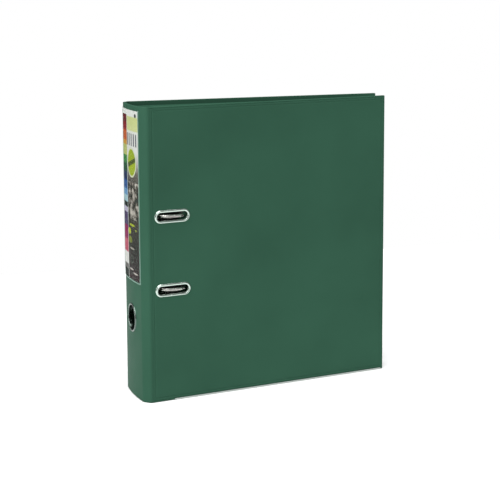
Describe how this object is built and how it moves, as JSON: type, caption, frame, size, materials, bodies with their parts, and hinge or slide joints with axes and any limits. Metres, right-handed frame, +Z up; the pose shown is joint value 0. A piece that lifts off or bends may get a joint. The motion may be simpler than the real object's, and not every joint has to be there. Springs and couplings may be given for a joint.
{
  "type": "lever arch file",
  "caption": "Upright lever arch file with folding foil-covered board covers, finger ring, label pocket and a lever-operated arch mechanism for punched paper.",
  "frame": {"origin": "middle of the footprint on the surface it stands on", "axes": "+Z up along the spine's height, +X from the spine towards the fore-edge, +Y from the front cover towards the back cover"},
  "size_m": [0.3062, 0.0808, 0.32],
  "materials": {
    "outer_foil": "fine-grained green polypropylene foil",
    "lining_foil": "smooth green polypropylene lining",
    "board": "grey board, cut edges",
    "clear_film": "clear welded film",
    "label_paper": "printed card",
    "black_plastic": "moulded black plastic",
    "white_plastic": "moulded nylon",
    "bright_steel": "nickel plated, bright",
    "nickel_steel": "nickel plated, satin",
    "pressed_steel": "nickel plated sheet, satin"
  },
  "bodies": {
    "back_cover": {"back_cover_foil": "outer_foil", "back_cover_board": "board", "back_cover_lining": "lining_foil", "back_edge_rail": "bright_steel", "base_plate": "pressed_steel", "paper_posts": "nickel_steel", "mechanism_rivets": "nickel_steel", "lever_pin": "nickel_steel"},
    "back_crease": {"back_crease_foil": "outer_foil", "back_crease_board": "board", "back_crease_lining": "lining_foil"},
    "spine": {"spine_foil": "outer_foil", "spine_board": "board", "spine_lining": "lining_foil", "finger_ring": "bright_steel", "finger_ring_collar": "bright_steel", "label_pocket": "clear_film"},
    "front_crease": {"front_crease_foil": "outer_foil", "front_crease_board": "board", "front_crease_lining": "lining_foil"},
    "front_cover": {"front_cover_foil": "outer_foil", "front_cover_board": "board", "front_cover_lining": "lining_foil", "front_edge_rail": "bright_steel", "oblong_eyelets": "bright_steel", "eyelet_clinch_rings": "bright_steel"},
    "label_card": {"label_card": "label_paper"},
    "lever": {"lever_arm": "pressed_steel", "lever_roller": "white_plastic", "roller_pin": "nickel_steel", "lever_grip": "black_plastic"},
    "arches": {"arch_wire": "bright_steel"},
    "compressor": {"compressor_bar": "black_plastic", "compressor_bushes": "black_plastic"}
  },
  "joints": [
    {"name": "back_cover_fold", "type": "hinge", "parent": "back_cover", "child": "back_crease", "pos_m": [-0.14295, 0.03954, 0.16], "axis": [0, 0, -1], "range_deg": [0, 45]},
    {"name": "back_spine_fold", "type": "hinge", "parent": "back_crease", "child": "spine", "pos_m": [-0.14995, 0.03254, 0.16], "axis": [0, 0, -1], "range_deg": [0, 45]},
    {"name": "front_spine_fold", "type": "hinge", "parent": "spine", "child": "front_crease", "pos_m": [-0.14995, -0.03347, 0.16], "axis": [0, 0, -1], "range_deg": [0, 45]},
    {"name": "front_cover_fold", "type": "hinge", "parent": "front_crease", "child": "front_cover", "pos_m": [-0.14295, -0.04047, 0.16], "axis": [0, 0, -1], "range_deg": [0, 53.6]},
    {"name": "lever_turn", "type": "hinge", "parent": "back_cover", "child": "lever", "pos_m": [-0.12045, 0.02893, 0.148], "axis": [1, 0, 0], "range_deg": [0, 90]},
    {"name": "arch_turn", "type": "hinge", "parent": "back_cover", "child": "arches", "pos_m": [-0.13245, 0.03193, 0.1608], "axis": [0, 0, -1], "range_deg": [0, 13.5]},
    {"name": "compressor_slide", "type": "slide", "parent": "back_cover", "child": "compressor", "axis": [0, -1, 0], "range_m": [0, 0.038]},
    {"name": "label_slide", "type": "slide", "parent": "spine", "child": "label_card", "axis": [0, 0, 1], "range_m": [0, 0.19]}
  ],
  "couplings": [
    {"joint": "back_cover_fold", "follows": "back_spine_fold", "ratio": 1},
    {"joint": "front_spine_fold", "follows": "front_cover_fold", "ratio": 0.8395},
    {"joint": "arch_turn", "follows": "lever_turn", "ratio": 0.15}
  ]
}
